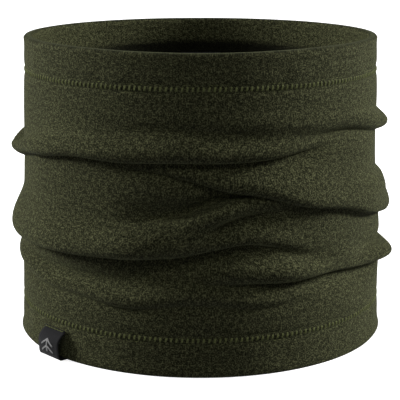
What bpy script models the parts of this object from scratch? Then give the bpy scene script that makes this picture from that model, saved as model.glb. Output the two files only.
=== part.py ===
"""Neck gaiter: a slouched fleece tube, open at both ends, with a stitched hem at each end.

The front is -Y and the tube stands on its bottom edge at Z = 0. The cloth between the two hems lies in four
soft folds. Pulling the top hem up opens the folds one after another, so each fold is a ring of its own here.
"""

import math

import bmesh
import bpy
from mathutils import Vector

# The cloth tube.
HEIGHT = 0.1325  # standing height in its slouched state
BOTTOM_RADIUS = 0.0819  # outer radius at the bottom edge
TOP_RADIUS = 0.0781  # outer radius at the top edge
FLEECE = 0.0018  # thickness of one layer of fleece
CLEARANCE = 0.0003  # gap kept between neighbouring pieces
FOLD_EDGES = (0.030, 0.043, 0.058, 0.075, 0.095)  # heights where one fold meets the next
FOLD_BULGE = 0.0055  # how far a fold stands out of the tube
FOLD_SAG = 0.7  # below 1 the fold's belly sags towards its lower edge
FOLD_POINTS = 5  # points down one side of a fold's profile
ROUND_STEPS = 60  # flats round the tube

# The hems, whose cut edges are turned to the inside and held by two needle lines and a cover thread.
BOTTOM_HEM_DEPTH = 0.0182
TOP_HEM_DEPTH = 0.0173
HEM_FOLD_ROOM = 0.0010  # height of the hem's own bend, between its edge and the turned layer
BOTTOM_STITCH_HEIGHT = 0.0156  # middle of the stitching above the bottom edge
TOP_STITCH_DROP = 0.0146  # middle of the stitching below the top edge
NEEDLE_GAUGE = 0.0034  # between the two needle lines of one hem
THREAD = 0.0004  # thickness of the sewing thread
COVER_WIDTH = NEEDLE_GAUGE - THREAD - 2 * CLEARANCE  # of the thread that crosses between the needle lines

# The back seam, which joins the two edges of the fleece panel. Its threads lie inside, between the hems.
SEAM_WIDTH = 0.0040

# The hem label: a woven tape sewn at both ends, looped under the bottom edge at the left of the front.
LABEL_TURN = math.radians(-48.6)  # round the tube from the front, to the left
LABEL_WIDTH = 0.0140
LABEL_TOP = 0.0127  # height of its sewn ends above the bottom edge
LABEL_SEWN = 0.0010  # height of the sewn strip at its ends
LABEL_OUT = 0.0007  # its sewn strip's middle outside the tube's bottom radius
LABEL_TAPE = 0.0005  # thickness of the tape
LABEL_FLOOR = 0.0001  # the loop's lowest point above the surface that the gaiter stands on
NOTCH_HEIGHT = 0.0009  # the cloth is pressed up by this much where the tape passes under it
NOTCH_MARGIN = 0.0004
MARK_STROKE = 0.0008  # height of the mark's strokes
MARK_THICKNESS = 0.0003
MARK_WIDTH = 0.0080
MARK_RISE = 0.0028  # from a chevron's feet to its peak
MARK_PEAKS = (0.0092, 0.0064)  # heights of the two chevrons' peaks
MARK_FOOT = 0.0032

# The care label, which hangs inside the back from the top hem.
CARE_WIDTH = 0.0200
CARE_LENGTH = 0.0320
CARE_TAPE = 0.0004
CARE_LAP = 0.0012  # its sewn edge above the turned hem's cut edge

FLEECE_GREEN = (0.036, 0.038, 0.021)
THREAD_GREEN = (0.060, 0.064, 0.026)
LABEL_BLACK = (0.012, 0.012, 0.014)
MARK_GREY = (0.45, 0.45, 0.45)
CARE_BLACK = (0.020, 0.020, 0.022)


def clear_scene():
    for old in list(bpy.data.objects):
        bpy.data.objects.remove(old)


def material(name, colour, roughness):
    made = bpy.data.materials.new(name)
    made.use_nodes = True
    shader = made.node_tree.nodes["Principled BSDF"]
    shader.inputs["Base Color"].default_value = (*colour, 1.0)
    shader.inputs["Roughness"].default_value = roughness
    shader.inputs["Metallic"].default_value = 0.0
    return made


def add_object(name, data, finish, parent):
    made = bpy.data.objects.new(name, data)
    bpy.context.scene.collection.objects.link(made)
    made.parent = parent
    if finish:
        data.materials.append(finish)
    return made


def add_empty(name):
    made = bpy.data.objects.new(name, None)
    bpy.context.scene.collection.objects.link(made)
    return made


def wall_radius(z):
    """Outer radius of the plain tube at a height, without its folds."""
    return BOTTOM_RADIUS + (TOP_RADIUS - BOTTOM_RADIUS) * z / HEIGHT


def fold_bulge(z):
    """How far the cloth stands out of the plain tube at a height."""
    for low, high in zip(FOLD_EDGES, FOLD_EDGES[1:]):
        if low < z < high:
            share = (z - low) / (high - low)
            return FOLD_BULGE * math.sin(math.pi * share**FOLD_SAG)
    return 0.0


def evenly(start, end, count):
    return [start + (end - start) * i / (count - 1) for i in range(count)]


def ring_section(low, high, inset, points=2):
    """Outline of one layer of fleece: down its outer side, then up its inner side."""
    down = [(wall_radius(z) + fold_bulge(z) - inset, z) for z in evenly(high, low, points)]
    up = [(radius - FLEECE, z) for radius, z in reversed(down)]
    return down + up


def thread_section(height, width):
    """Outline of a thread that lies on the outside of the tube, round it."""
    low, high = height - width / 2, height + width / 2
    inner = [wall_radius(z) + CLEARANCE for z in (high, low)]
    return [(inner[0] + THREAD, high), (inner[1] + THREAD, low), (inner[1], low), (inner[0], high)]


def turned(name, section, finish, parent):
    """A ring turned about Z from a closed section, a list of (radius, height)."""
    mesh = bpy.data.meshes.new(name)
    count = len(section)
    edges = [(i, (i + 1) % count) for i in range(count)]
    mesh.from_pydata([(radius, 0.0, z) for radius, z in section], edges, [])
    made = add_object(name, mesh, finish, parent)
    screw = made.modifiers.new("Turn", "SCREW")
    screw.axis = "Z"
    screw.steps = ROUND_STEPS
    screw.render_steps = ROUND_STEPS
    screw.use_merge_vertices = True
    screw.merge_threshold = 0.00001
    screw.use_smooth_shade = True
    return made


def tape(name, path, width, thickness, finish, parent):
    """Flat tape along an open path in the XZ plane, its width along Y."""
    mesh = bpy.data.meshes.new(name)
    shape = bmesh.new()
    side = [shape.verts.new((x, -width / 2, z)) for x, z in path]
    edges = [shape.edges.new(pair) for pair in zip(side, side[1:])]
    grown = bmesh.ops.extrude_edge_only(shape, edges=edges)["geom"]
    moved = [item for item in grown if isinstance(item, bmesh.types.BMVert)]
    bmesh.ops.translate(shape, verts=moved, vec=(0.0, width, 0.0))
    shape.to_mesh(mesh)
    shape.free()
    made = add_object(name, mesh, finish, parent)
    solid = made.modifiers.new("Thickness", "SOLIDIFY")
    solid.thickness = thickness
    solid.offset = 0.0
    solid.use_even_offset = True
    return made


def smooth_path(points, steps):
    """Points read from a Catmull-Rom curve through the given ones, end points kept."""
    padded = [points[0], *points, points[-1]]
    found = []
    for before, start, end, after in zip(padded, padded[1:], padded[2:], padded[3:]):
        p, q, r, s = (Vector(point) for point in (before, start, end, after))
        for i in range(steps):
            t = i / steps
            spot = 2 * q + (r - p) * t + (2 * p - 5 * q + 4 * r - s) * t**2 + (3 * q - p - 3 * r + s) * t**3
            found.append(tuple(spot / 2))
    return found + [points[-1]]


def face_outwards(made, turn, radius):
    """Stands a piece on the tube, its own +X pointing out of the tube at a turn from the front."""
    made.location = (radius * math.sin(turn), -radius * math.cos(turn), 0.0)
    made.rotation_euler = (0.0, 0.0, turn - math.pi / 2)


def make_bands(lower, upper, fleece):
    half = CLEARANCE / 2
    first, last = FOLD_EDGES[0], FOLD_EDGES[-1]
    band = turned("lower_band", ring_section(0.0, first - half, 0.0), fleece, lower)
    turned("upper_band", ring_section(last + half, HEIGHT, 0.0), fleece, upper)
    inset = FLEECE + CLEARANCE
    low, high = HEM_FOLD_ROOM, BOTTOM_HEM_DEPTH
    turned("bottom_hem_turn_in", ring_section(low, high, inset), fleece, lower)
    low, high = HEIGHT - TOP_HEM_DEPTH, HEIGHT - HEM_FOLD_ROOM
    turned("top_hem_turn_in", ring_section(low, high, inset), fleece, upper)
    return band


def make_folds(bodies, fleece):
    half = CLEARANCE / 2
    for body, low, high in zip(bodies, FOLD_EDGES, FOLD_EDGES[1:]):
        name = body.name.replace("_body", "")
        turned(name, ring_section(low + half, high - half, 0.0, FOLD_POINTS), fleece, body)


def make_hem_threads(side, height, thread, parent):
    """The three threads of one hem, lying on the outside of the tube."""
    offset = NEEDLE_GAUGE / 2
    turned(f"{side}_hem_upper_needle_thread", thread_section(height + offset, THREAD), thread, parent)
    turned(f"{side}_hem_lower_needle_thread", thread_section(height - offset, THREAD), thread, parent)
    turned(f"{side}_hem_cover_thread", thread_section(height, COVER_WIDTH), thread, parent)


def make_back_seam(thread, parent):
    """The seam's threads, down the inside of the back from the top hem's turned edge to the bottom one's."""
    low, high = BOTTOM_HEM_DEPTH + CLEARANCE, HEIGHT - TOP_HEM_DEPTH - CLEARANCE
    heights = [low]
    for start, end in zip(FOLD_EDGES, FOLD_EDGES[1:]):
        heights += evenly(start, end, FOLD_POINTS)[:-1]
    heights += [FOLD_EDGES[-1], high]
    depth = FLEECE + 2 * CLEARANCE + THREAD / 2
    path = [(wall_radius(z) + fold_bulge(z) - depth, z) for z in heights]
    seam = tape("back_seam_thread", path, SEAM_WIDTH, THREAD, thread, parent)
    seam.rotation_euler = (0.0, 0.0, math.pi / 2)


def label_path():
    """The tape's middle line from its outer sewn end, under the hem, to its inner sewn end."""
    floor = LABEL_FLOOR + LABEL_TAPE / 2
    inner = -2 * FLEECE - CLEARANCE - 0.0014
    route = [
        (LABEL_OUT, LABEL_TOP),
        (LABEL_OUT, LABEL_TOP - LABEL_SEWN),
        (0.0028, 0.0103),
        (0.0046, 0.0082),
        (0.0050, 0.0058),
        (0.0046, 0.0028),
        (0.0036, 0.0008),
        (0.0022, floor),
        (-0.0010, floor),
        (-0.0038, floor),
        (inner - 0.0003, 0.0009),
        (inner - 0.0006, 0.0030),
        (inner, LABEL_TOP),
    ]
    return smooth_path(route, 3)


def make_hem_label(band, black, grey, thread, parent):
    path = label_path()
    label = tape("hem_label", path, LABEL_WIDTH, LABEL_TAPE, black, parent)
    face_outwards(label, LABEL_TURN, BOTTOM_RADIUS)

    out = LABEL_OUT + LABEL_TAPE / 2 + CLEARANCE + THREAD / 2
    row = [(out, LABEL_TOP - THREAD), (out, LABEL_TOP)]
    stitch = tape("hem_label_stitch", row, LABEL_WIDTH - 2 * THREAD, THREAD, thread, parent)
    face_outwards(stitch, LABEL_TURN, BOTTOM_RADIUS)

    mark = make_mark(max(x for x, _ in path) + LABEL_TAPE / 2 + CLEARANCE, grey, parent)
    face_outwards(mark, LABEL_TURN, BOTTOM_RADIUS)
    cut_notch(band, parent)


def make_mark(out, grey, parent):
    """A plain mark on the label's face: two chevrons, one above the other, on one upright stem."""
    half, stem = MARK_WIDTH / 2, MARK_STROKE / 2
    slope = MARK_RISE / half
    side = [(0.0, MARK_PEAKS[0])]
    for peak in MARK_PEAKS:
        if peak != MARK_PEAKS[0]:
            side.append((stem, peak - slope * stem))
        side += [(half, peak - MARK_RISE), (half, peak - MARK_RISE - MARK_STROKE)]
        side.append((stem, peak - MARK_STROKE - slope * stem))
    side.append((stem, MARK_FOOT))
    outline = side + [(-y, z) for y, z in reversed(side[1:])]

    mesh = bpy.data.meshes.new("hem_label_mark")
    shape = bmesh.new()
    face = shape.faces.new([shape.verts.new((out, y, z)) for y, z in outline])
    grown = bmesh.ops.extrude_face_region(shape, geom=[face])["geom"]
    moved = [item for item in grown if isinstance(item, bmesh.types.BMVert)]
    bmesh.ops.translate(shape, verts=moved, vec=(MARK_THICKNESS, 0.0, 0.0))
    bmesh.ops.recalc_face_normals(shape, faces=shape.faces)
    shape.to_mesh(mesh)
    shape.free()
    return add_object("hem_label_mark", mesh, grey, parent)


def cut_notch(band, parent):
    """Room under the bottom edge for the label's tape."""
    cutter = add_object("label_notch", bpy.data.meshes.new("label_notch"), None, parent)
    block = bmesh.new()
    bmesh.ops.create_cube(block, size=1.0)
    size = (8 * FLEECE, LABEL_WIDTH + 2 * NOTCH_MARGIN, 2 * NOTCH_HEIGHT)
    bmesh.ops.scale(block, verts=block.verts, vec=size)
    block.to_mesh(cutter.data)
    block.free()
    face_outwards(cutter, LABEL_TURN, BOTTOM_RADIUS)
    cutter.hide_render = True
    cutter.display_type = "WIRE"
    cut = band.modifiers.new("Room for the label", "BOOLEAN")
    cut.operation = "DIFFERENCE"
    cut.object = cutter


def make_care_label(black, thread, upper, hinge):
    """A blank tape that hangs from the turned edge of the top hem, inside the back."""
    face = TOP_RADIUS - 2 * FLEECE - CLEARANCE
    chord = math.sqrt(face**2 - (CARE_WIDTH / 2) ** 2)
    sewn = chord - CLEARANCE - THREAD / 2
    out = sewn - THREAD / 2 - CLEARANCE - CARE_TAPE / 2
    pivot = HEIGHT - TOP_HEM_DEPTH + CARE_LAP
    hinge.location = (0.0, out, pivot)
    drop = [(0.0, 0.0), (0.0, -CARE_LENGTH / 2), (0.0, -CARE_LENGTH)]
    label = tape("care_label", drop, CARE_WIDTH, CARE_TAPE, black, hinge)
    label.rotation_euler = (0.0, 0.0, math.pi / 2)
    row = [(sewn, pivot - THREAD), (sewn, pivot)]
    stitch = tape("care_label_stitch", row, CARE_WIDTH - 2 * THREAD, THREAD, thread, upper)
    stitch.rotation_euler = (0.0, 0.0, math.pi / 2)


def main():
    clear_scene()
    fleece = material("fleece", FLEECE_GREEN, 0.95)
    thread = material("thread", THREAD_GREEN, 0.7)
    label_black = material("label_black", LABEL_BLACK, 0.6)
    label_grey = material("label_grey", MARK_GREY, 0.6)
    care_black = material("care_black", CARE_BLACK, 0.45)
    lower, upper = add_empty("lower_body"), add_empty("upper_body")
    folds = [add_empty(f"{place}_fold_body") for place in ("lowest", "lower", "upper", "highest")]
    hinge = add_empty("care_label_body")

    band = make_bands(lower, upper, fleece)
    make_folds(folds, fleece)
    make_hem_threads("bottom", BOTTOM_STITCH_HEIGHT, thread, lower)
    make_hem_threads("top", HEIGHT - TOP_STITCH_DROP, thread, upper)
    make_back_seam(thread, lower)
    make_hem_label(band, label_black, label_grey, thread, lower)
    make_care_label(care_black, thread, upper, hinge)


main()
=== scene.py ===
"""Looks of the neck gaiter: one slouched sheet of brushed fleece, its hems, threads, seam and labels.

Lengths are in metres unless a name or a comment says otherwise. An angle round the tube is counted in degrees
from the front, -Y, and grows to the right, towards +X.
"""

import math

import bpy
import numpy as np
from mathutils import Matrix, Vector


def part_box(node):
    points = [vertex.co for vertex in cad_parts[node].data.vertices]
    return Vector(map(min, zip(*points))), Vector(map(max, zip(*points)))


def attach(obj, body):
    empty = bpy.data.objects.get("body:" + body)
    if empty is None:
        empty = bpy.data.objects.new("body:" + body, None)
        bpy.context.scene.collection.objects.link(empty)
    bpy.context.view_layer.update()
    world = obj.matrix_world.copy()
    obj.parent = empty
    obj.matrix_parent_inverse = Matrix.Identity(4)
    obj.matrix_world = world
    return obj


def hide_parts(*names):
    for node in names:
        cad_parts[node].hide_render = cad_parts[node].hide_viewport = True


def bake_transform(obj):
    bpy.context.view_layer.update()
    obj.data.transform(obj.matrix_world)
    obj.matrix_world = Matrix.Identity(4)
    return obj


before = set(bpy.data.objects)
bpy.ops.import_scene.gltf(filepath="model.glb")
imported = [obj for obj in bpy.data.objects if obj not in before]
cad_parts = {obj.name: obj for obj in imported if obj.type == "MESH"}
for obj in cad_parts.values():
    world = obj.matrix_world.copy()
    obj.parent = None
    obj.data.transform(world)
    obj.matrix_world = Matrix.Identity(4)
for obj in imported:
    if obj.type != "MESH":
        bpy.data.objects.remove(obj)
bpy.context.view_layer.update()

MM = 0.001

# Sizes that the frame gives.
LOW_BAND, HIGH_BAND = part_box("lower_band"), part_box("upper_band")
HEIGHT = HIGH_BAND[1].z
BOTTOM_RADIUS = LOW_BAND[1].x
TAPER = (BOTTOM_RADIUS - HIGH_BAND[1].x) / HIGH_BAND[0].z
BOTTOM_TURN_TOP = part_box("bottom_hem_turn_in")[1].z
TOP_TURN_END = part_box("top_hem_turn_in")[0].z

# The cloth.
FLEECE = 0.0018
COLUMNS = 256  # of the mesh, round the tube
COLUMN_CROWD = 0.055  # how much closer together they are at the back seam
HEM_GAP = 0.0003  # between the layers of a hem, which its stitches hold together
DRAWN_HALF = 2.4 * MM  # to either side of a hem's stitches, over which they draw it together
HEM_PAINTED_SHADE_TOP = HEIGHT - 0.0102  # below it, in the back, painted shade darkens the inside of the top hem
HEM_PAINTED_SHADE_DIP = 0.0024  # how much lower the painted shade starts away from the back
HEM_PAINTED_SHADE_TURN = 60.0  # degrees from the back, over which it gets lower
HEM_PAINTED_SHADE_EDGE = 0.0016  # height over which the painted shade fades in
RIM_SAG = 0.0007  # of the top edge, in front
SAG_TURN = 46.0  # degrees from the front, over which the sag fades
SAG_DEPTH = 0.0096  # from the top edge, over which it fades
RIM_PAINTED_SHADE = 0.66  # how much painted shade darkens the pressed top edge, as a share of the darkest
TURNED_ROWS = 12  # of the mesh, in a hem's turned layer
BEND_ROWS = 5  # of the mesh, in a hem's bend
EDGE_PRESSED = 0.45  # how much thinner the cloth is pressed at the bend
PRESSED = 0.30  # how flat a hem's bend is pressed, as a share of a half round
SEWN_THIN = 0.18  # how much thinner a hem's stitches draw the cloth
STITCH_MARGIN = 0.0014  # of the denser rows of the mesh beyond the needle lines
WALL_ROWS = (5, 13, 114, 13, 5)  # of the mesh: below, along, between, along and above the hems' stitches
FINE_ROWS = 12  # points of the fine profile for each row of the mesh

# How the wall is shaped by its hems, and how it sways between them.
SWAY_FROM = 0.019  # from either edge, where the wall starts to be free
SWAY_OVER = 0.016  # over which it gets quite free
SWAY_LONG, SWAY_SHORT = 0.55 * MM, 0.45 * MM  # its long and its short waves
NEEDLE_DENT, NEEDLE_DENT_HALF = 0.34 * MM, 0.75 * MM
SEWN_DENT, SEWN_DENT_HALF = 0.10 * MM, 1.9 * MM
BOTTOM_FLARE, BOTTOM_FLARE_HALF = 1.05 * MM, 1.6 * MM
TOP_FLARE, TOP_FLARE_HALF = 0.55 * MM, 1.7 * MM
PUCKER = 0.22 * MM
PUCKER_HALF = 0.004  # also its distance from a hem's stitches
TURN_LOOSE = 0.12 * MM  # how unevenly a turned layer lies
TURN_DRAWN = 0.3 * MM  # how far its stitches draw it outwards

# How a fold falls over its crease.
FOLD_UNEVEN = 0.10  # share by which it varies along the crease
CREASE_WAVE = 0.5 * MM
CREASE_RISE = 0.55  # of the crease over the fold's lower edge, as a share of how far it hangs down
HANG_AT = 0.12  # share of its height at which it hangs down most
HANG_HALF = 1.7 * MM  # over which the hang fades out below that

# The stitching of the hems.
STITCHES = 229  # round the tube
THREAD_RADIUS = 0.00020
THREAD_SIDES = 6
NEEDLE_STEPS = 5  # points of a needle thread for each stitch
NEEDLE_ENDS = -1.05 * MM  # a needle stitch's ends, outward from the wall
NEEDLE_ARCH = 0.5 * MM  # its middle, outward from its ends
COVER_POINTS = 6  # points of each strand of a cover stitch
COVER_LEAN = 0.24  # of a strand, as a share of the distance between two stitches
COVER_UNEVEN = 0.05  # by which the lean varies, as such a share
COVER_PART = 0.095  # from a stitch's middle to either strand, as such a share
COVER_MARGIN = 0.15  # between a strand's ends and the needle lines, as a share of the band
COVER_ENDS = -0.78 * MM  # a strand's ends, outward from the wall
COVER_ARCH = 0.62 * MM  # its middle, outward from its ends
COVER_DIP = -1.25 * MM  # the thread between two cover stitches
BAND_MARGIN = 0.0003  # of the stitched band beyond the needle lines
BAND_EDGE = 0.0004

# The back seam, flat and inside the tube.
SEAM_HALF = 0.0018
SEAM_PITCH = 0.0016
SEAM_THREAD = 0.00016
SEAM_COLUMNS = 8  # of the mesh, to either side of the seam
SEAM_MARGIN = 0.0006  # at either end
ZIGZAG_STEPS, EDGE_STEPS = 6, 4  # points of the threads for each stitch
GROOVE_DEPTH, GROOVE_HALF = 0.70 * MM, 1.0 * MM

# Tapes, and the threads that hold them.
SELVEDGE = 0.25  # share by which a tape is fuller at its edges
SELVEDGE_HALF = 0.7 * MM
ROW_STEPS = 6  # points of a thread for each stitch
HEM_LABEL_STITCHES = 6
CARE_LABEL_STITCHES = 10
ROW_MARGIN = 0.0007  # between a row of stitches and the side of the hem label

# The label on the bottom hem: a loop of tape. Its middle line is given as the distance outward from the
# bottom radius and the height.
LABEL_WIDTH = 0.014
LABEL_TAPE = 0.00042
LABEL_BOW = 0.0007  # how far the face bends back at its sides
LABEL_COLUMNS = 15  # of the mesh
LABEL_ROUTE = [
    (0.0007, 0.0127),
    (0.0007, 0.0117),
    (0.0028, 0.0103),
    (0.0046, 0.0082),
    (0.0050, 0.0058),
    (0.0046, 0.0028),
    (0.0036, 0.0008),
    (0.0022, 0.00035),
    (-0.0010, 0.00035),
    (-0.0038, 0.00035),
    (-0.0056, 0.0009),
    (-0.0059, 0.0030),
    (-0.0053, 0.0127),
]
ROUTE_STEPS = 6  # points read from the curve for each of these
FACE_POINTS = 8  # of these, down the face to the hem's edge
MARK_PEAKS = (0.0088, 0.0060)
MARK_HALF = 0.0038
MARK_RISE = 0.0026
MARK_FOOT = 0.0031
MARK_THREAD = 0.00015
MARK_LIFT = 0.00012  # of its threads' middle lines off the face
MARK_APART = 1.7  # of two threads side by side, in thread radii
MARK_ROWS = 3  # threads side by side in a stroke

# The care label hangs a little lower than in CAD, to be hidden behind the front rim.
CARE_DROP = 0.0006
CARE_ROW_DROP = 0.0008
CARE_ROWS, CARE_COLUMNS = 33, 17  # of the mesh

# The camera looks a little down at the front through a long lens.
CAMERA_PLACE = (-0.0002, -0.597, 0.1908)
CAMERA_DOWN = 12.72
CAMERA_LENS = 120.1

# The studio light: the name, the place, the size and the watts of each lamp.
LIGHTS = (
    ("overhead_softbox", (0, -0.05, 1.5), (0.9, 0.25), 3.6),
    ("front_top_softbox", (0, -1.2, 1.25), (1.4, 0.5), 6.3),
    ("left_softbox", (-2.15, 0.46, 1.05), (0.8, 0.62), 69),
    ("right_softbox", (2.15, 0.46, 1.05), (0.8, 0.62), 76),
    ("front_low_softbox", (0, -4.0, 0.39), (2.4, 0.16), 11.5),
)
WORLD_LIGHT = 0.0
FLOOR_GLOW = 0.75
FLOOR_REACH = 6.0

# Each fold hangs over a crease that runs round the tube. A row is the angle and then, in millimetres, the
# height of the fold's lower edge, how far it stands out, how far it hangs down over the crease, how deep the
# cloth is tucked under it, and the fold's height. The last value is where the fold stands out most, as a
# share of its height. Angles may pass 180, because a crease can run round the back and on.
FOLDS = {
    "upper": [
        (-34, 103.0, 0.0, 0.0, 0.0, 10, 0.30),
        (-7, 102.3, 0.5, 0.0, 0.5, 10, 0.30),
        (14, 99.6, 1.0, 0.3, 1.0, 11, 0.30),
        (32, 98.2, 1.4, 0.4, 1.2, 11, 0.30),
        (50, 98.0, 1.9, 0.6, 1.2, 10, 0.32),
        (65, 95.2, 3.2, 0.9, 0.6, 9, 0.40),
        (82, 93.4, 5.0, 1.1, 0.1, 6.1, 0.44),
        (110, 88.5, 4.4, 2.6, 1.0, 13, 0.34),
        (150, 86.0, 3.8, 3.2, 1.8, 15, 0.30),
        (200, 82.5, 4.6, 3.0, 1.4, 14, 0.32),
        (250, 80.0, 4.8, 1.0, 0.4, 11, 0.55),
        (276, 80.3, 6.3, 0.1, 0.1, 6.0, 0.72),
        (300, 86.8, 4.6, 3.4, 0.9, 7.4, 0.32),
        (330, 90.3, 4.8, 4.8, 2.0, 8, 0.24),
        (352, 90.8, 5.1, 5.4, 3.8, 8, 0.27),
        (366, 90.7, 5.2, 5.6, 4.2, 8, 0.28),
        (380, 91.4, 4.7, 4.8, 3.8, 7.4, 0.30),
        (391, 92.2, 3.2, 2.8, 3.0, 7, 0.30),
        (402, 93.0, 0.8, 0.5, 0.6, 8, 0.30),
        (414, 93.0, 0.0, 0.0, 0.0, 8, 0.30),
    ],
    "long": [
        (-34, 85.6, 0.0, 0.0, 0.0, 5, 0.26),
        (-22, 85.2, 1.6, 1.7, 1.4, 5, 0.26),
        (-12, 84.9, 3.0, 3.2, 2.6, 5, 0.26),
        (-1, 82.8, 4.2, 4.3, 3.8, 6.6, 0.24),
        (8, 78.6, 4.9, 4.8, 4.0, 10, 0.20),
        (20, 74.5, 4.6, 3.9, 1.1, 14, 0.18),
        (33, 69.4, 4.6, 3.8, 0.9, 17, 0.16),
        (50, 64.4, 4.6, 3.6, 0.9, 18, 0.18),
        (69, 56.6, 4.8, 3.0, 0.8, 21, 0.26),
        (82, 53.2, 5.0, 3.0, 0.1, 20, 0.29),
        (110, 48.0, 4.8, 3.2, 1.0, 20, 0.28),
        (150, 45.5, 4.6, 3.2, 1.6, 17, 0.30),
        (200, 44.5, 5.0, 3.0, 1.2, 18, 0.28),
        (245, 43.5, 5.0, 2.8, 0.8, 20, 0.28),
        (276, 44.7, 5.2, 2.5, 0.3, 21, 0.29),
        (300, 47.2, 4.6, 3.6, 1.4, 18, 0.20),
        (325, 48.7, 5.0, 4.7, 2.6, 14, 0.22),
        (341, 49.8, 5.1, 5.1, 4.6, 10, 0.28),
        (352, 51.6, 4.8, 4.9, 5.4, 8, 0.30),
        (363, 55.0, 4.2, 4.3, 4.8, 7, 0.30),
        (373, 56.0, 3.2, 3.0, 3.4, 7, 0.30),
        (383, 54.0, 1.7, 1.4, 1.8, 7, 0.30),
        (397, 50.5, 0.0, 0.0, 0.0, 7, 0.30),
    ],
    "pocket": [
        (-36, 52.0, 0.0, 0.0, 0.0, 10, 0.60),
        (-19, 53.4, 1.6, 0.0, 0.3, 10.4, 0.74),
        (-10, 55.2, 3.2, 0.0, 0.6, 10.6, 0.80),
        (-4, 57.6, 5.2, 0.0, 0.8, 9.4, 0.78),
        (2, 61.0, 5.8, 0.0, 0.8, 8.6, 0.78),
        (7, 63.8, 5.6, 0.0, 0.8, 8.2, 0.76),
        (13, 66.6, 3.6, 0.0, 0.6, 7, 0.74),
        (21, 68.4, 1.8, 0.0, 0.4, 5.6, 0.70),
        (31, 69.0, 0.0, 0.0, 0.0, 5, 0.60),
    ],
    "lower_right": [
        (-20, 40.0, 0.0, 0.0, 0.0, 9, 0.40),
        (-6, 39.7, 1.4, 0.8, 1.0, 9, 0.45),
        (8, 39.2, 2.6, 1.6, 1.6, 9, 0.48),
        (24, 39.4, 3.8, 3.0, 3.2, 9, 0.45),
        (44, 39.0, 4.6, 3.8, 4.4, 8, 0.42),
        (62, 37.4, 5.2, 3.6, 3.8, 7.6, 0.42),
        (82, 33.7, 6.1, 1.5, 0.5, 6.0, 0.46),
        (112, 30.0, 4.2, 2.0, 0.6, 11, 0.40),
        (150, 30.0, 3.0, 1.6, 0.8, 11, 0.34),
        (190, 32.0, 1.4, 0.5, 0.5, 10, 0.30),
        (215, 33.0, 0.0, 0.0, 0.0, 10, 0.30),
    ],
    "lower_left": [
        (-140, 34.0, 0.0, 0.0, 0.0, 9, 0.40),
        (-112, 34.0, 1.6, 0.6, 0.3, 9, 0.42),
        (-84, 34.0, 1.6, 0.6, 0.3, 9, 0.45),
        (-60, 31.6, 2.2, 1.2, 1.0, 8, 0.40),
        (-37, 29.8, 2.2, 1.1, 1.1, 7, 0.40),
        (-22, 28.9, 2.4, 1.2, 1.3, 7, 0.40),
        (0, 30.8, 1.4, 0.5, 0.8, 7, 0.38),
        (17, 28.7, 1.4, 0.6, 0.8, 7, 0.38),
        (31, 29.6, 0.9, 0.3, 0.5, 6, 0.38),
        (46, 29.0, 0.0, 0.0, 0.0, 6, 0.38),
    ],
    "right_shoulder": [
        (44, 71.0, 0.0, 0.0, 0.0, 8, 0.50),
        (62, 68.0, 1.0, 0.2, 0.2, 8, 0.55),
        (82, 66.0, 2.0, 0.2, 0.0, 8, 0.62),
        (108, 62.5, 1.6, 0.2, 0.0, 8, 0.50),
        (130, 61.0, 0.0, 0.0, 0.0, 8, 0.50),
    ],
    "back": [
        (98, 66.0, 0.0, 0.0, 0.0, 10, 0.30),
        (124, 65.0, 2.4, 1.6, 0.9, 11, 0.30),
        (160, 66.0, 3.8, 2.6, 1.4, 12, 0.30),
        (200, 67.5, 3.6, 2.4, 1.2, 12, 0.30),
        (236, 66.0, 2.0, 1.2, 0.8, 11, 0.30),
        (262, 64.0, 0.0, 0.0, 0.0, 10, 0.30),
    ],
}

# Places where the cloth sinks in between the folds: the angle and, in millimetres, the height, the depth and
# half the height of the hollow.
HOLLOWS = {
    "under_long": [
        (-28, 70.0, 0.0, 6),
        (-16, 66.0, 2.6, 6.2),
        (-7, 67.2, 5.2, 5.6),
        (0, 69.8, 7.0, 4.6),
        (6, 73.0, 5.6, 2.9),
        (12, 75.2, 2.0, 1.5),
        (24, 72.0, 0.0, 1.5),
    ],
    "under_upper": [
        (-12, 101.0, 0.0, 3),
        (12, 99.6, 1.0, 3),
        (32, 97.8, 1.8, 3),
        (50, 97.6, 1.7, 2.8),
        (64, 94.6, 0.9, 2.4),
        (78, 91.0, 0.0, 2),
    ],
    "over_lower_right": [
        (20, 49.0, 0.0, 2.4),
        (33, 46.9, 3.0, 2.5),
        (47, 44.7, 4.0, 2.4),
        (62, 43.0, 4.0, 2.4),
        (78, 41.8, 2.4, 2.2),
        (92, 41.2, 1.7, 2.2),
        (108, 42.0, 0.0, 2),
    ],
    "under_pocket": [
        (-20, 54.5, 0.0, 3),
        (-10, 57.2, 2.8, 3.2),
        (-4, 59.6, 2.8, 3),
        (8, 63.2, 2.4, 3),
        (20, 66.0, 2.2, 3),
        (30, 66.0, 0.8, 3),
        (42, 62.0, 0.0, 3),
    ],
    "under_edge": [
        (-76, 40.0, 0.0, 3),
        (-60, 38.6, 1.8, 4),
        (-42, 37.6, 4.0, 4.8),
        (-24, 39.0, 4.4, 5.4),
        (-10, 42.0, 4.0, 5.2),
        (4, 47.6, 3.0, 4.6),
        (14, 49.6, 1.6, 3.6),
        (26, 48.0, 0.0, 3),
    ],
}


def wall_radius(z):
    """Outer radius of the plain tube at a height."""
    return BOTTOM_RADIUS - TAPER * z


def spot(degrees, radius, z):
    """The point at an angle round the tube."""
    turn = math.radians(degrees)
    return Vector((radius * math.sin(turn), -radius * math.cos(turn), z))


def degrees_from_back(degrees):
    return np.minimum(np.abs(degrees + 180), np.abs(degrees - 180))


def middle_height(name):
    """Height of the middle of a CAD node."""
    low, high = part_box(name)
    return (low.z + high.z) / 2


# ---------------------------------------------------------------- the cloth's shape


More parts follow.
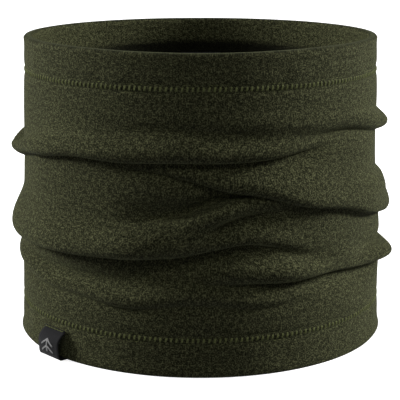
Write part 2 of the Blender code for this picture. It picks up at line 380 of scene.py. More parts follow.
def smooth_curve(xs, ys, at):
    """A smooth curve through the points, read at the places at. It is flat at both ends."""
    slope = np.zeros(len(xs))
    slope[1:-1] = (ys[2:] - ys[:-2]) / (xs[2:] - xs[:-2])
    i = np.clip(np.searchsorted(xs, at, side="right") - 1, 0, len(xs) - 2)
    width = xs[i + 1] - xs[i]
    t = np.clip((at - xs[i]) / width, 0, 1)
    return (
        (2 * t**3 - 3 * t**2 + 1) * ys[i]
        + (t**3 - 2 * t**2 + t) * width * slope[i]
        + (3 * t**2 - 2 * t**3) * ys[i + 1]
        + (t**3 - t**2) * width * slope[i + 1]
    )


def waves(degrees, turns, seed):
    """A gentle irregular wave round the tube, about -1 to 1, from a few whole numbers of turns."""
    random = np.random.default_rng(seed)
    phases = random.uniform(0, 2 * math.pi, len(turns))
    parts = [np.cos(np.radians(degrees) * n + p) for n, p in zip(turns, phases)]
    return sum(parts) / math.sqrt(len(turns))


def fold_shape(t, peak):
    """A fold's outward shape over its own height, from its crease up to its peak and on to where it fades."""
    rise = np.sin(math.pi / 2 * np.clip(t / peak, 0, 1)) ** 0.8
    fade = np.cos(math.pi / 2 * np.clip((t - peak) / (1 - peak), 0, 1)) ** 2
    return rise * fade


def add_fold(rows, seed, degrees, heights, out, down):
    """Adds one fold's displacement to out and down, arrays of heights by columns."""
    table = np.array(rows, float)
    angles = table[:, 0]
    for turn in (-360.0, 0.0, 360.0):
        at = degrees + turn
        here = (at > angles[0]) & (at < angles[-1])
        if not here.any():
            continue
        edge, lip, drop, tuck, rise = (smooth_curve(angles, table[:, k], at[here]) * MM for k in range(1, 6))
        lip, drop, tuck = (np.maximum(value, 0) for value in (lip, drop, tuck))
        peak = smooth_curve(angles, table[:, 6], at[here])
        lively = 1 + FOLD_UNEVEN * waves(at[here], (5, 8, 13), seed)
        lip, drop = lip * lively, drop * lively
        crease = edge + CREASE_RISE * drop + CREASE_WAVE * waves(at[here], (4, 7, 11), seed + 1)
        t = (heights[:, None] - crease) / rise
        out[:, here] += lip * fold_shape(t, peak)
        hollow_at, hollow_size = 0.8 * MM + 0.7 * tuck, 1.5 * MM + 0.9 * tuck
        out[:, here] -= tuck * np.exp(-(((heights[:, None] - crease + hollow_at) / hollow_size) ** 2))
        below = np.exp(-(((t - HANG_AT) * rise / HANG_HALF) ** 2))
        above = np.cos(math.pi / 2 * np.clip((t - HANG_AT) / (1 - HANG_AT), 0, 1)) ** 2
        down[:, here] += drop * np.where(t < HANG_AT, below, above)


def add_hollow(rows, degrees, heights, out):
    """Sinks the cloth in along a hollow, in out, an array of heights by columns."""
    table = np.array(rows, float)
    angles = table[:, 0]
    here = (degrees > angles[0]) & (degrees < angles[-1])
    middle, depth, half = (smooth_curve(angles, table[:, k], degrees[here]) * MM for k in (1, 2, 3))
    out[:, here] -= np.maximum(depth, 0) * np.exp(-(((heights[:, None] - middle) / half) ** 2))


def pinch(z, middle, depth, half):
    """A dent round the tube, by height: depth in the middle, and fading out to either side."""
    return depth * np.exp(-(((z - middle) / half) ** 2))


def stitch_lines(side):
    """Heights of a hem's lower and upper needle line."""
    return [middle_height(f"{side}_hem_{place}_needle_thread") for place in ("lower", "upper")]


def rim_sag(degrees, z):
    """How far the free top edge hangs down in front, above its stitches."""
    front = np.cos(math.pi / 2 * np.clip(degrees / SAG_TURN, -1, 1)) ** 2
    return RIM_SAG * front * np.clip((z - HEIGHT + SAG_DEPTH) / SAG_DEPTH, 0, 1) ** 1.5


def outer_wall(degrees, heights):
    """Radius and height of the outer wall's middle surface, arrays of heights by columns."""
    out = np.zeros((len(heights), len(degrees)))
    down = np.zeros_like(out)
    for seed, rows in enumerate(FOLDS.values()):
        add_fold(rows, 10 * seed, degrees, heights, out, down)
    for rows in HOLLOWS.values():
        add_hollow(rows, degrees, heights, out)
    z = heights[:, None]
    free = np.clip((z - SWAY_FROM) / SWAY_OVER, 0, 1) * np.clip((HEIGHT - SWAY_FROM - z) / SWAY_OVER, 0, 1)
    sway = SWAY_LONG * waves(degrees, (2, 3, 5, 7), 91) * np.sin(z / 0.021)
    sway = sway + SWAY_SHORT * waves(degrees, (4, 6, 9), 92) * np.cos(z / 0.013)
    out += sway * free
    uneven = 1 + 0.25 * waves(degrees, (17, 29, 41), 93)
    for side in ("bottom", "top"):
        for line in stitch_lines(side):
            out -= pinch(z, line, NEEDLE_DENT * uneven, NEEDLE_DENT_HALF)
        out -= pinch(z, sum(stitch_lines(side)) / 2, SEWN_DENT, SEWN_DENT_HALF)
    near_hems = pinch(z, stitch_lines("bottom")[0] - PUCKER_HALF, 1, PUCKER_HALF)
    near_hems = near_hems + pinch(z, stitch_lines("top")[1] + PUCKER_HALF, 1, PUCKER_HALF)
    out += PUCKER * waves(degrees, (19, 27, 38, 51), 94) * near_hems
    out += pinch(z, 0, BOTTOM_FLARE, BOTTOM_FLARE_HALF) + pinch(z, HEIGHT, TOP_FLARE, TOP_FLARE_HALF)
    return wall_radius(z) - FLEECE / 2 + out, z - down - rim_sag(degrees, z)


def resample(points, count):
    """Points along each column of a fine profile, which divide its length into count even steps."""
    steps = np.linalg.norm(np.diff(points, axis=0), axis=2)
    length = np.vstack([np.zeros(points.shape[1]), np.cumsum(steps, axis=0)])
    shares = np.arange(count + 1) / count
    found = np.empty((len(shares), points.shape[1], 2))
    for k in range(points.shape[1]):
        for axis in (0, 1):
            found[:, k, axis] = np.interp(shares * length[-1, k], length[:, k], points[:, k, axis])
    return found


def turned_layer(degrees, side, start, end):
    """The inner layer of a hem between two heights, as radius and height."""
    z = np.linspace(start, end, TURNED_ROWS)[:, None] + np.zeros(len(degrees))
    loose = TURN_LOOSE * waves(degrees, (7, 12, 19), 95)
    drawn = pinch(z, sum(stitch_lines(side)) / 2, TURN_DRAWN, DRAWN_HALF)
    radius = wall_radius(z) - 1.5 * FLEECE - HEM_GAP + loose + drawn
    return np.stack([radius, z - rim_sag(degrees, z)], axis=2)


def hem_bend(wall_end, turned_end, sign):
    """The half round from the outer wall to the turned layer, above it (sign 1) or below it (sign -1)."""
    turn = np.linspace(0, math.pi, BEND_ROWS + 2)[1:-1, None, None]
    middle, reach = (wall_end + turned_end) / 2, (wall_end - turned_end) / 2
    depth = np.linalg.norm(reach, axis=1) * sign * PRESSED
    return middle + reach * np.cos(turn) + np.stack([np.zeros_like(depth), depth], axis=1) * np.sin(turn)


def cloth_profile(degrees):
    """The cloth's middle surface from one cut edge to the other: rows by columns by (radius, height)."""
    bend = (FLEECE + HEM_GAP) / 2 * PRESSED
    first = bend + (1 - EDGE_PRESSED) * FLEECE / 2
    last = HEIGHT - first
    below, above = stitch_lines("bottom"), stitch_lines("top")
    stops = [first]
    for line in (below, above):
        stops += [line[0] - STITCH_MARGIN, line[1] + STITCH_MARGIN]
    stops.append(last)
    parts = []
    for low, high, count in zip(stops, stops[1:], WALL_ROWS):
        radius, z = outer_wall(degrees, np.linspace(low, high, FINE_ROWS * count))
        parts.append(resample(np.stack([radius, z], axis=2), count)[:-1])
    radius, z = outer_wall(degrees, np.array([last]))
    parts.append(np.stack([radius, z], axis=2))
    wall = np.concatenate(parts)
    inner_low = turned_layer(degrees, "bottom", BOTTOM_TURN_TOP, first)
    inner_high = turned_layer(degrees, "top", last, TOP_TURN_END)
    bottom = hem_bend(wall[0], inner_low[-1], -1)[::-1]
    top = hem_bend(wall[-1], inner_high[0], 1)
    # Smoothing the rows a little leaves no crease sharper than the cloth can bend.
    wall[1:-1] = 0.25 * wall[:-2] + 0.5 * wall[1:-1] + 0.25 * wall[2:]
    return np.concatenate([inner_low, bottom, wall, top, inner_high])


def column_angles():
    """Angles of the mesh's columns: even round the tube, and closer together at the seam in the back."""
    share = np.arange(COLUMNS) / COLUMNS
    crowd = COLUMN_CROWD * np.sin(2 * math.pi * share)
    return -180 + 360 * (share - crowd)


def seam_groove(degrees):
    """How deep the back seam is drawn in, by angle."""
    across = degrees_from_back(degrees) * math.pi / 180 * BOTTOM_RADIUS
    return GROOVE_DEPTH * np.exp(-((across / GROOVE_HALF) ** 2))


def thickness(z):
    """Thickness of the cloth by row. A hem's bend is pressed thin, and its stitches draw it together."""
    rows = len(z)
    row = np.arange(rows)
    bends = (TURNED_ROWS + BEND_ROWS / 2, rows - 1 - TURNED_ROWS - BEND_ROWS / 2)
    pressed = sum(np.exp(-(((row - bend) / (BEND_ROWS * 0.6)) ** 2)) for bend in bends)
    sewn = sum(pinch(z, sum(stitch_lines(side)) / 2, 1, DRAWN_HALF) for side in ("bottom", "top"))
    return (FLEECE * (1 - EDGE_PRESSED * pressed - SEWN_THIN * sewn))[:, None, None]


def cloth_points():
    """Outer and inner surface of the cloth, its length up to each row and the angle of each column."""
    degrees = column_angles()
    profile = cloth_profile(degrees)
    profile[:, :, 0] -= seam_groove(degrees) * np.sin(np.linspace(0, math.pi, len(profile)))[:, None] ** 0.2
    turn = np.radians(degrees)
    radius, z = profile[:, :, 0], profile[:, :, 1]
    middle = np.stack([radius * np.sin(turn), -radius * np.cos(turn), z], axis=2)
    up = np.gradient(middle, axis=0)
    along = np.roll(middle, -1, axis=1) - np.roll(middle, 1, axis=1)
    normal = np.cross(along, up)
    normal /= np.linalg.norm(normal, axis=2, keepdims=True)
    steps = np.linalg.norm(np.diff(middle, axis=0), axis=2).mean(axis=1)
    lengths = np.concatenate([[0.0], np.cumsum(steps)])
    half = thickness(z.mean(axis=1)) / 2
    return middle + normal * half, middle - normal * half, lengths, degrees


# ---------------------------------------------------------------- meshes


def new_object(name, mesh, finish):
    made = bpy.data.objects.new(name, mesh)
    bpy.context.scene.collection.objects.link(made)
    mesh.materials.append(finish)
    mesh.shade_smooth()
    return made


def distances(points):
    """How far along a row of points each of them lies."""
    return np.concatenate([[0.0], np.cumsum(np.linalg.norm(np.diff(points, axis=0), axis=1))])


def grid_normals(grid):
    """Unit normals of a grid of points, rows by columns by XYZ."""
    normals = np.cross(np.gradient(grid, axis=1), np.gradient(grid, axis=0))
    return normals / np.linalg.norm(normals, axis=2, keepdims=True)


def closed_sheet(name, outer, inner, rounds, lengths, finish, inside):
    """A sheet with thickness from two grids, closed round the columns, and a UV map in metres of cloth."""
    rows, columns = outer.shape[:2]
    ring = np.concatenate([outer, inner[::-1]])
    along = np.concatenate([lengths, lengths[::-1]])
    total = 2 * rows
    i, j = np.meshgrid(np.arange(total), np.arange(columns), indexing="ij")
    down, right = (i + 1) % total, (j + 1) % columns
    around = [(i, j), (i, right), (down, right), (down, j)]
    quads = np.stack([row * columns + column for row, column in around], axis=2)
    mesh = bpy.data.meshes.new(name)
    mesh.from_pydata(ring.reshape(-1, 3).tolist(), [], quads.reshape(-1, 4).tolist())
    u = np.concatenate([rounds, [rounds[0] + 2 * math.pi * BOTTOM_RADIUS]])
    corners = [(j, i), (j + 1, i), (j + 1, down), (j, down)]
    uv = np.stack([np.stack([u[a], along[b]], axis=2) for a, b in corners], axis=2)
    layer = mesh.uv_layers.new(name="cloth")
    layer.data.foreach_set("uv", uv.reshape(-1))
    made = new_object(name, mesh, finish)
    mesh.materials.append(inside)
    # The inner faces get the darker copy of the fleece, which paints shade inside the tube.
    painted_shade_wrong_side = np.repeat((np.arange(total) >= rows) & (np.arange(total) < total - 1), columns)
    mesh.polygons.foreach_set("material_index", painted_shade_wrong_side.astype(np.int32))
    return made


def slab(name, middle, thick, finish):
    """A tape with thickness from a grid of its middle surface, with fuller edges and a UV map in metres."""
    rows, columns = middle.shape[:2]
    width, length = distances(middle[0]), distances(middle[:, 0])
    edge = np.minimum(width, width[-1] - width)
    half = thick / 2 * (0.85 + SELVEDGE * np.exp(-((edge / SELVEDGE_HALF) ** 2)))[None, :, None]
    offset = grid_normals(middle) * half
    points = np.concatenate([middle + offset, middle - offset]).reshape(-1, 3)
    back = rows * columns
    faces, places = [], []
    for i in range(rows - 1):
        for j in range(columns - 1):
            a = [(i, j), (i, j + 1), (i + 1, j + 1), (i + 1, j)]
            faces += [[r * columns + c for r, c in a], [back + r * columns + c for r, c in reversed(a)]]
            places += [a, a[::-1]]
    rim = [(0, j) for j in range(columns)] + [(i, columns - 1) for i in range(1, rows)]
    rim += [(rows - 1, j) for j in range(columns - 2, -1, -1)] + [(i, 0) for i in range(rows - 2, 0, -1)]
    for a, b in zip(rim, rim[1:] + rim[:1]):
        front = [a[0] * columns + a[1], b[0] * columns + b[1]]
        faces.append([front[1], front[0], back + front[0], back + front[1]])
        places.append([b, a, a, b])
    mesh = bpy.data.meshes.new(name)
    mesh.from_pydata(points.tolist(), [], faces)
    layer = mesh.uv_layers.new(name="cloth")
    layer.data.foreach_set("uv", [v for place in places for r, c in place for v in (width[c], length[r])])
    return new_object(name, mesh, finish)


def sweep(name, paths, radius, finish, closed=False):
    """Round threads along paths of points, all in one mesh."""
    points, faces = [], []
    for path in paths:
        path = [Vector(p) for p in path]
        base, count = len(points), len(path)
        for k, here in enumerate(path):
            before = path[k - 1] if k or closed else here
            after = path[(k + 1) % count] if k + 1 < count or closed else here
            ahead = (after - before).normalized()
            out = Vector((here.x, here.y, 0.0)).normalized()
            side = ahead.cross(out).normalized()
            lift = side.cross(ahead)
            for s in range(THREAD_SIDES):
                a = 2 * math.pi * s / THREAD_SIDES
                points.append(here + (side * math.cos(a) + lift * math.sin(a)) * radius)
        for k in range(count if closed else count - 1):
            a, b = base + k * THREAD_SIDES, base + (k + 1) % count * THREAD_SIDES
            for s in range(THREAD_SIDES):
                beside = (s + 1) % THREAD_SIDES
                faces.append((a + s, a + beside, b + beside, b + s))
        if not closed:
            last = base + (count - 1) * THREAD_SIDES
            faces.append(tuple(base + s for s in reversed(range(THREAD_SIDES))))
            faces.append(tuple(last + s for s in range(THREAD_SIDES)))
    mesh = bpy.data.meshes.new(name)
    mesh.from_pydata(points, [], faces)
    return new_object(name, mesh, finish)


# ---------------------------------------------------------------- materials


def new_material(name, roughness):
    made = bpy.data.materials.new(name)
    made.use_nodes = True
    nodes, links = made.node_tree.nodes, made.node_tree.links
    shader = nodes["Principled BSDF"]
    shader.inputs["Roughness"].default_value = roughness
    return made, nodes, links, shader


def noise_node(nodes, links, where, scale, detail=2.0, roughness=0.5):
    made = nodes.new("ShaderNodeTexNoise")
    made.inputs["Scale"].default_value = scale
    made.inputs["Detail"].default_value = detail
    made.inputs["Roughness"].default_value = roughness
    links.new(where, made.inputs["Vector"])
    return made


def ramp_node(nodes, links, value, stops):
    made = nodes.new("ShaderNodeValToRGB")
    made.color_ramp.elements[0].position, made.color_ramp.elements[0].color = stops[0][0], (*stops[0][1], 1)
    made.color_ramp.elements[1].position, made.color_ramp.elements[1].color = stops[-1][0], (*stops[-1][1], 1)
    for place, colour in stops[1:-1]:
        made.color_ramp.elements.new(place).color = (*colour, 1)
    links.new(value, made.inputs["Fac"])
    return made


def math_node(nodes, links, operation, first, *others):
    """The result of a math node, from a linked value and others that are numbers or linked too."""
    made = nodes.new("ShaderNodeMath")
    made.operation = operation
    links.new(first, made.inputs[0])
    for place, value in enumerate(others, start=1):
        if isinstance(value, float):
            made.inputs[place].default_value = value
        else:
            links.new(value, made.inputs[place])
    return made.outputs[0]


def multiply_colour(nodes, links, first, second):
    made = nodes.new("ShaderNodeMix")
    made.data_type = "RGBA"
    made.blend_type = "MULTIPLY"
    made.inputs["Factor"].default_value = 1.0
    links.new(first, made.inputs["A"])
    links.new(second, made.inputs["B"])
    return made.outputs["Result"]


def add_bump(nodes, links, shader, height, strength, distance):
    bump = nodes.new("ShaderNodeBump")
    bump.inputs["Strength"].default_value = strength
    bump.inputs["Distance"].default_value = distance
    links.new(height, bump.inputs["Height"])
    links.new(bump.outputs["Normal"], shader.inputs["Normal"])


def painted_stitch_gap_shade(nodes, links, where):
    """How deep a point of the right side lies in the painted shade of a gap between two cover stitches, 0 to
    1.
    """
    parts = nodes.new("ShaderNodeSeparateXYZ")
    links.new(where, parts.inputs["Vector"])
    step = 2 * math.pi * BOTTOM_RADIUS / STITCHES
    turn = math_node(nodes, links, "MULTIPLY", parts.outputs["X"], 2 * math.pi / step)
    middle = (-STITCHES / 2 + COVER_LEAN / 2) % 1
    turn = math_node(nodes, links, "SUBTRACT", turn, 2 * math.pi * (middle + 0.5))
    wave = math_node(nodes, links, "COSINE", turn)
    wave = math_node(nodes, links, "MULTIPLY_ADD", wave, 0.5, 0.5)
    return math_node(nodes, links, "MULTIPLY", wave, attribute_value(nodes, "stitched"))


def attribute_value(nodes, name):
    """The value that mark_cloth stored under a name."""
    made = nodes.new("ShaderNodeAttribute")
    made.attribute_name = name
    return made.outputs["Fac"]


def fleece_material(name, dark, middle, light, right_side):
    """Brushed fleece: a heathered olive nap with a soft sheen. The right side gets painted shade where
    mark_cloth's values say.
    """
    made, nodes, links, shader = new_material(name, 0.95)
    where = nodes.new("ShaderNodeUVMap")
    where.uv_map = "cloth"
    fibres = noise_node(nodes, links, where.outputs["UV"], 1700, 3.0, 0.65)
    tufts = noise_node(nodes, links, where.outputs["UV"], 620, 2.0, 0.5)
    mottle = noise_node(nodes, links, where.outputs["UV"], 60, 3.0, 0.6)
    blend = nodes.new("ShaderNodeMix")
    blend.inputs["Factor"].default_value = 0.28
    links.new(fibres.outputs["Fac"], blend.inputs["A"])
    links.new(tufts.outputs["Fac"], blend.inputs["B"])
    heather = ramp_node(nodes, links, blend.outputs["Result"], [(0.37, dark), (0.49, middle), (0.61, light)])
    patches = ramp_node(nodes, links, mottle.outputs["Fac"], [(0.3, (0.90,) * 3), (0.7, (1.10,) * 3)])
    colour = multiply_colour(nodes, links, heather.outputs["Color"], patches.outputs["Color"])
    if right_side:
        # Painted shade in the gaps between the cover stitches.
        gap = painted_stitch_gap_shade(nodes, links, where.outputs["UV"])
        painted_gap_shade = ramp_node(nodes, links, gap, [(0.2, (1.0,) * 3), (0.9, (0.72,) * 3)])
        colour = multiply_colour(nodes, links, colour, painted_gap_shade.outputs["Color"])
        # Painted shade: darkens the inside of the top hem and the pressed top edge.
        painted_shade = attribute_value(nodes, "painted_shade")
        painted_shade_ramp = ramp_node(nodes, links, painted_shade, [(0.0, (1.0,) * 3), (1.0, (0.16, 0.16, 0.17))])
        colour = multiply_colour(nodes, links, colour, painted_shade_ramp.outputs["Color"])
    links.new(colour, shader.inputs["Base Color"])
    add_bump(nodes, links, shader, blend.outputs["Result"], 0.9, 0.0006)
    shader.inputs["Specular IOR Level"].default_value = 0.08
    shader.inputs["Sheen Weight"].default_value = 0.08
    shader.inputs["Sheen Roughness"].default_value = 0.5
    shader.inputs["Sheen Tint"].default_value = (0.60, 0.66, 0.34, 1)
    return made


def thread_material(name, dark, light, twists, bump, roughness, specular):
    """Twisted thread or yarn. The bump is its strength and its distance."""
    made, nodes, links, shader = new_material(name, roughness)
    where = nodes.new("ShaderNodeTexCoord")
    twist = noise_node(nodes, links, where.outputs["Object"], twists, 2.0, 0.6)
    colour = ramp_node(nodes, links, twist.outputs["Fac"], [(0.3, dark), (0.7, light)])
    links.new(colour.outputs["Color"], shader.inputs["Base Color"])
    add_bump(nodes, links, shader, twist.outputs["Fac"], *bump)
    shader.inputs["Specular IOR Level"].default_value = specular
    return made


def tape_material(name, dark, light, ribs, roughness):
    """Woven tape: fine ribs across it and single yarns that stand out a little."""
    made, nodes, links, shader = new_material(name, roughness)
    where = nodes.new("ShaderNodeUVMap")
    where.uv_map = "cloth"
    rib = nodes.new("ShaderNodeTexWave")
    rib.bands_direction = "Y"
    rib.inputs["Scale"].default_value = ribs
    rib.inputs["Distortion"].default_value = 0.6
    rib.inputs["Detail Scale"].default_value = 40.0
    links.new(where.outputs["UV"], rib.inputs["Vector"])
    yarns = noise_node(nodes, links, where.outputs["UV"], 2600, 2.0, 0.6)
    both = nodes.new("ShaderNodeMix")
    both.inputs["Factor"].default_value = 0.45
    links.new(rib.outputs["Fac"], both.inputs["A"])
    links.new(yarns.outputs["Fac"], both.inputs["B"])
    colour = ramp_node(nodes, links, both.outputs["Result"], [(0.25, dark), (0.8, light)])
    links.new(colour.outputs["Color"], shader.inputs["Base Color"])
    add_bump(nodes, links, shader, both.outputs["Result"], 0.7, 0.00012)
    shader.inputs["Specular IOR Level"].default_value = 0.15
    return made


# ---------------------------------------------------------------- the pieces


def mark_cloth(cloth, rows, degrees, profile_z):
    """Stores where the cloth's right side lies between a hem's needle lines, and where it gets painted shade.
    """
    share = np.zeros(rows)
    turned_rows = TURNED_ROWS + BEND_ROWS
    for side in ("bottom", "top"):
        low, high = stitch_lines(side)
        over_low = np.clip((profile_z - low + BAND_MARGIN) / BAND_EDGE, 0, 1)
        under_high = np.clip((high + BAND_MARGIN - profile_z) / BAND_EDGE, 0, 1)
        between = over_low * under_high
        between[:turned_rows] = 0
        between[-turned_rows:] = 0
        share = np.maximum(share, between)
    # Painted shade inside the top hem. It starts highest at the back and lower away from it.
    share_down = np.clip(degrees_from_back(degrees) / HEM_PAINTED_SHADE_TURN, 0, 1)
    shade_top = HEM_PAINTED_SHADE_TOP - HEM_PAINTED_SHADE_DIP * share_down**2 * (3 - 2 * share_down)
    painted_shade = np.zeros((rows, COLUMNS))
    painted_shade[-TURNED_ROWS:] = np.clip((shade_top - profile_z[-TURNED_ROWS:, None]) / HEM_PAINTED_SHADE_EDGE, 0, 1)
    # Painted shade along the pressed top edge.
    painted_shade[-turned_rows:-TURNED_ROWS] = RIM_PAINTED_SHADE
    for name, values in (("stitched", share[:, None] + np.zeros(COLUMNS)), ("painted_shade", painted_shade)):
        layer = cloth.data.attributes.new(name, "FLOAT", "POINT")
        both_sides = np.concatenate([values, np.zeros((rows, COLUMNS))])
        layer.data.foreach_set("value", both_sides.ravel().astype(np.float32))


def make_cloth(finish, inside):
    """The whole fleece tube with its hems and folds. Returns its inner face and the angles of its columns."""
    outer, inner, lengths, degrees = cloth_points()
    rounds = np.radians(degrees) * BOTTOM_RADIUS
    cloth = closed_sheet("fleece_tube", outer, inner, rounds, lengths, finish, inside)
    mark_cloth(cloth, len(outer), degrees, outer[:, :, 2].mean(axis=1))
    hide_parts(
        "lower_band", "lowest_fold", "lower_fold", "upper_fold", "highest_fold", "upper_band",
        "bottom_hem_turn_in", "top_hem_turn_in",
    )
    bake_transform(cloth)
    return inner, degrees


def make_cover_thread(side, body, finish):
    """The thread over the hem's cut edge: two slanted strands at every stitch, then a dip to the next."""
    low, high = stitch_lines(side)
    pitch = 360 / STITCHES
    random = np.random.default_rng(5)
    shares = np.linspace(0, 1, COVER_POINTS)
    part = pitch * COVER_PART
    path = []
    for k in range(STITCHES):
        start = -180 + k * pitch
        lean = pitch * (COVER_LEAN + COVER_UNEVEN * random.standard_normal())
        strands = [(start - part + lean * s, s) for s in shares]
        strands += [(start + part + lean * s, s) for s in reversed(shares)]
        for degrees, s in strands:
            z = low + (high - low) * (COVER_MARGIN + (1 - 2 * COVER_MARGIN) * s)
            arch = math.sin(math.pi * s) ** 0.6
            path.append(spot(degrees, wall_radius(z) + COVER_ARCH * arch + COVER_ENDS, z))
        path.append(spot(start + pitch / 2, wall_radius(low) + COVER_DIP, low))
    cover = sweep(f"{side}_hem_cover_stitches", [path], THREAD_RADIUS, finish, closed=True)
    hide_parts(f"{side}_hem_cover_thread")
    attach(cover, body)


def make_needle_threads(side, body, finish):
    """The two needle threads, which dip into the cloth at every stitch."""
    pitch = 360 / STITCHES
    for place, z in zip(("lower", "upper"), stitch_lines(side)):
        path = []
        for k in range(STITCHES * NEEDLE_STEPS):
            s = k % NEEDLE_STEPS / NEEDLE_STEPS
            radius = wall_radius(z) + NEEDLE_ENDS + NEEDLE_ARCH * math.sin(math.pi * s) ** 0.5
            path.append(spot(-180 + k * pitch / NEEDLE_STEPS, radius, z))
        name = f"{side}_hem_{place}_needle_stitches"
        needle = sweep(name, [path], 0.8 * THREAD_RADIUS, finish, closed=True)
        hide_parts(f"{side}_hem_{place}_needle_thread")
        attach(needle, body)


def make_back_seam(inner, degrees, finish):
    """A flat seam inside the back: a zigzag between two edge threads, lying on the cloth's inner face."""
    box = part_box("back_seam_thread")
    first = COLUMNS // 2
    turned = np.roll(inner, first, axis=1)
    across = np.where(degrees < 0, degrees + 180, degrees - 180)
    across = np.radians(np.roll(across, first)) * BOTTOM_RADIUS
    near = slice(first - SEAM_COLUMNS, first + SEAM_COLUMNS + 1)
    turned, across = turned[TURNED_ROWS + BEND_ROWS : -TURNED_ROWS - BEND_ROWS, near], across[near]
    z = turned[:, :, 2].mean(axis=1)
    rows = np.where((z > box[0].z + SEAM_MARGIN) & (z < box[1].z - SEAM_MARGIN))[0]
    turned = turned[rows[0] : rows[-1] + 1]
    length = distances(turned[:, SEAM_COLUMNS])
    normal = grid_normals(turned)
    normal *= np.where((normal * turned * (1, 1, 0)).sum(axis=2) > 0, -1, 1)[:, :, None]

    def lie(along, sideways, lift):
        """The point of the inner face at a length along and beside the seam, lifted off the face."""
        row = np.interp(along, length, np.arange(len(length)))
        column = np.interp(sideways, across, np.arange(len(across)))
        i, j = min(int(row), len(length) - 2), min(int(column), len(across) - 2)
        a, b = row - i, column - j
        lifted = turned[i : i + 2, j : j + 2] + normal[i : i + 2, j : j + 2] * lift
        low, high = (pair[0] * (1 - b) + pair[1] * b for pair in lifted)
        return Vector(low * (1 - a) + high * a)

    paths = []
    steps = int(length[-1] / SEAM_PITCH)
    zigzag = []
    for k in range(steps * ZIGZAG_STEPS + 1):
        phase = k / ZIGZAG_STEPS
        tooth = 1 - 2 * abs(phase % 2 - 1)
        zigzag.append(lie(phase * SEAM_PITCH, SEAM_HALF * tooth, 0.9 * SEAM_THREAD + 0.0001))
    paths.append(zigzag)
    for sign in (-1, 1):
        edge = []
        for k in range(steps * EDGE_STEPS + 1):
            phase = k / EDGE_STEPS
            lift = SEAM_THREAD * (0.2 + 0.7 * abs(math.sin(math.pi * phase)))
            edge.append(lie(phase * SEAM_PITCH, sign * SEAM_HALF, lift))
        paths.append(edge)
    seam = sweep("back_seam_stitches", paths, SEAM_THREAD, finish)
    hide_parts("back_seam_thread")
    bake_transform(seam)


def curve_through(points, steps):
    """Points read from a smooth curve through the given ones, a Catmull-Rom spline."""
    padded = [Vector(point) for point in (points[0], *points, points[-1])]
    found = []
    for p, q, r, s in zip(padded, padded[1:], padded[2:], padded[3:]):
        once, twice, thrice = r - p, 2 * p - 5 * q + 4 * r - s, 3 * q - p - 3 * r + s
        for i in range(steps):
            t = i / steps
            found.append((2 * q + once * t + twice * t**2 + thrice * t**3) / 2)
    return found + [padded[-1]]


def bow(across, z):
    """How far the label's face bends back towards its sides."""
    below_stitches = min(max((LABEL_ROUTE[1][1] - z) / 0.004, 0), 1)
    above_edge = min(max((z - 0.0006) / 0.003, 0), 1)
    return -LABEL_BOW * below_stitches * above_edge * (2 * across / LABEL_WIDTH) ** 2


def make_hem_label(tape, yarn, thread):
    """The folded tape on the bottom hem, its raised mark and the row of stitches that holds it."""
    low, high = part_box("hem_label_mark")
    turn = math.degrees(math.atan2((low.x + high.x) / 2, -(low.y + high.y) / 2))
    away, aside = spot(turn, 1, 0), spot(turn + 90, 1, 0)

    def place(out, across, z):
        """The point at a distance outward from the bottom radius, a distance to the right and a height."""
        return away * (BOTTOM_RADIUS + out) + aside * across + Vector((0, 0, z))

    route = curve_through(LABEL_ROUTE, ROUTE_STEPS)
    face = route[: ROUTE_STEPS * (FACE_POINTS - 1) + 1]
    middle = []
    for k, (out, z) in enumerate(route):
        row = []
        for across in np.linspace(-LABEL_WIDTH / 2, LABEL_WIDTH / 2, LABEL_COLUMNS):
            bent = bow(across, z) if k < len(face) else 0
            row.append(place(out + bent, across, z))
        middle.append(row)
    label = slab("hem_label_tape", np.array(middle), LABEL_TAPE, tape)
    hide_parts("hem_label")
    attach(label, "lower")

    face_z = [z for out, z in reversed(face)]
    face_out = [out for out, z in reversed(face)]

    def on_face(across, z):
        """The point of the mark's threads at a distance to the right and a height."""
        out = np.interp(z, face_z, face_out) + bow(across, z) + LABEL_TAPE / 2 + MARK_LIFT
        return place(out, across, z)

    strokes = []
    for k in range(MARK_ROWS):
        shift = -k * MARK_APART * MARK_THREAD
        for peak in MARK_PEAKS:
            shares = np.linspace(-1, 1, 21)
            strokes.append([on_face(MARK_HALF * s, peak - MARK_RISE * abs(s) + shift) for s in shares])
        stem = np.linspace(MARK_FOOT, MARK_PEAKS[0] - 0.0006, 14)
        strokes.append([on_face(shift + MARK_APART * MARK_THREAD, z) for z in stem])
    mark = sweep("hem_label_chevrons", strokes, MARK_THREAD, yarn)
    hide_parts("hem_label_mark")
    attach(mark, "lower")

    row = []
    z = middle_height("hem_label_stitch") - 0.0001
    count = HEM_LABEL_STITCHES * ROW_STEPS
    for k in range(count + 1):
        across = (k / count - 0.5) * (LABEL_WIDTH - 2 * ROW_MARGIN)
        lift = 0.0009 * abs(math.sin(math.pi * k / ROW_STEPS)) ** 0.5 - 0.0004
        row.append(place(LABEL_ROUTE[0][0] + LABEL_TAPE / 2 + lift, across, z))
    stitches = sweep("hem_label_stitches", [row], 0.9 * THREAD_RADIUS, thread)
    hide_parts("hem_label_stitch")
    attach(stitches, "lower")


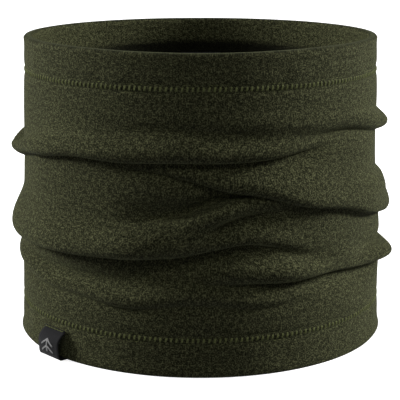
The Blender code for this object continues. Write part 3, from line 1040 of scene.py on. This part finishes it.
def make_care_label(tape, thread):
    """The blank tape that hangs inside the back, and its stitches."""
    low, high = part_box("care_label")
    depth = (low.y + high.y) / 2
    top, length = high.z - CARE_DROP, high.z - low.z - CARE_DROP - 0.0001
    middle = np.empty((CARE_ROWS, CARE_COLUMNS, 3))
    for i, down in enumerate(np.linspace(0, 1, CARE_ROWS)):
        for j, side in enumerate(np.linspace(-1, 1, CARE_COLUMNS)):
            wave = 0.0007 * math.sin(2.6 * down) * down - 0.0016 * down**2 - 0.0008 * down * side**2
            wave += 0.0003 * down * math.sin(3 * side + 4 * down)
            middle[i, j] = (side * (high.x - low.x) / 2, depth + wave, top - down * length)
    label = slab("care_label_tape", middle, high.y - low.y - 0.0001, tape)
    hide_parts("care_label")
    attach(label, "care_label")

    low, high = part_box("care_label_stitch")
    y, z = (low.y + high.y) / 2, (low.z + high.z) / 2 - CARE_ROW_DROP
    row = []
    for x in np.linspace(low.x + THREAD_RADIUS, high.x - THREAD_RADIUS, CARE_LABEL_STITCHES * ROW_STEPS + 1):
        lift = 0.00012 * math.sin(2 * math.pi * len(row) / ROW_STEPS)
        row.append(Vector((x, y + lift, z + 0.5 * lift)))
    stitches = sweep("care_label_stitches", [row], 0.9 * THREAD_RADIUS, thread)
    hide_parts("care_label_stitch")
    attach(stitches, "upper")


# ---------------------------------------------------------------- the studio


def make_camera():
    data = bpy.data.cameras.new("camera")
    data.lens = CAMERA_LENS
    data.sensor_width = 36
    data.clip_start, data.clip_end = 0.01, 50
    made = bpy.data.objects.new("camera", data)
    made.location = CAMERA_PLACE
    made.rotation_euler = (math.radians(90 - CAMERA_DOWN), 0, 0)
    bpy.context.scene.collection.objects.link(made)
    bpy.context.scene.camera = made


def make_light(name, place, aim, size, watts):
    data = bpy.data.lights.new(name, "AREA")
    data.shape = "RECTANGLE"
    data.size, data.size_y = size
    data.energy = watts
    made = bpy.data.objects.new(name, data)
    made.location = place
    made.rotation_euler = (Vector(aim) - Vector(place)).to_track_quat("-Z", "Y").to_euler()
    made.visible_camera = False
    bpy.context.scene.collection.objects.link(made)


def make_studio():
    middle = (0, 0, HEIGHT / 2)
    for name, place, size, watts in LIGHTS:
        make_light(name, place, middle, size, watts)
    world = bpy.data.worlds.new("studio")
    bpy.context.scene.world = world
    world.use_nodes = True
    background = world.node_tree.nodes["Background"]
    background.inputs["Color"].default_value = (1, 1, 1, 1)
    background.inputs["Strength"].default_value = WORLD_LIGHT
    finish, nodes, links, shader = new_material("pale_floor", 0.9)
    where = nodes.new("ShaderNodeTexCoord")
    cloudy = noise_node(nodes, links, where.outputs["Object"], 3.0)
    colour = ramp_node(nodes, links, cloudy.outputs["Fac"], [(0.3, (0.89,) * 3), (0.7, (0.91,) * 3)])
    links.new(colour.outputs["Color"], shader.inputs["Base Color"])
    shader.inputs["Emission Color"].default_value = (1, 1, 1, 1)
    shader.inputs["Emission Strength"].default_value = FLOOR_GLOW
    mesh = bpy.data.meshes.new("floor")
    corners = [(x * FLOOR_REACH, y * FLOOR_REACH, 0) for x, y in ((-1, -1), (1, -1), (1, 1), (-1, 1))]
    mesh.from_pydata(corners, [], [(0, 1, 2, 3)])
    floor = new_object("floor", mesh, finish)
    floor.visible_diffuse = False
    bpy.context.scene.view_settings.view_transform = "Standard"


make_camera()
make_studio()
right_tones = (0.0030, 0.0037, 0.0009), (0.0225, 0.0236, 0.0095), (0.124, 0.128, 0.061)
# The wrong side is a darker copy of the fleece: painted shade for the inside of the tube.
painted_shade_inside_tones = (0.0032, 0.0036, 0.0012), (0.0150, 0.0158, 0.0070), (0.065, 0.068, 0.034)
fleece = fleece_material("brushed_fleece", *right_tones, right_side=True)
painted_shade_fleece_inside = fleece_material("painted_shade_fleece_inside", *painted_shade_inside_tones, right_side=False)
# The sewing thread is a little yellower than the fleece.
thread_tones = (0.058, 0.067, 0.020), (0.178, 0.197, 0.070)
thread = thread_material("olive_thread", *thread_tones, 2200, (0.6, 0.0001), 0.7, 0.15)
inner_face, column_places = make_cloth(fleece, painted_shade_fleece_inside)
for side, body in (("bottom", "lower"), ("top", "upper")):
    make_cover_thread(side, body, thread)
    make_needle_threads(side, body, thread)
make_back_seam(inner_face, column_places, thread)
woven = tape_material("woven_black_tape", (0.003, 0.003, 0.0035), (0.012, 0.012, 0.0135), 1100, 0.8)
yarn = thread_material("grey_yarn", (0.16,) * 3, (0.34,) * 3, 3000, (0.5, 0.00008), 0.6, 0.5)
make_hem_label(woven, yarn, thread)
satin = tape_material("satin_black_tape", (0.004, 0.004, 0.0045), (0.014, 0.014, 0.015), 1600, 0.5)
make_care_label(satin, thread)
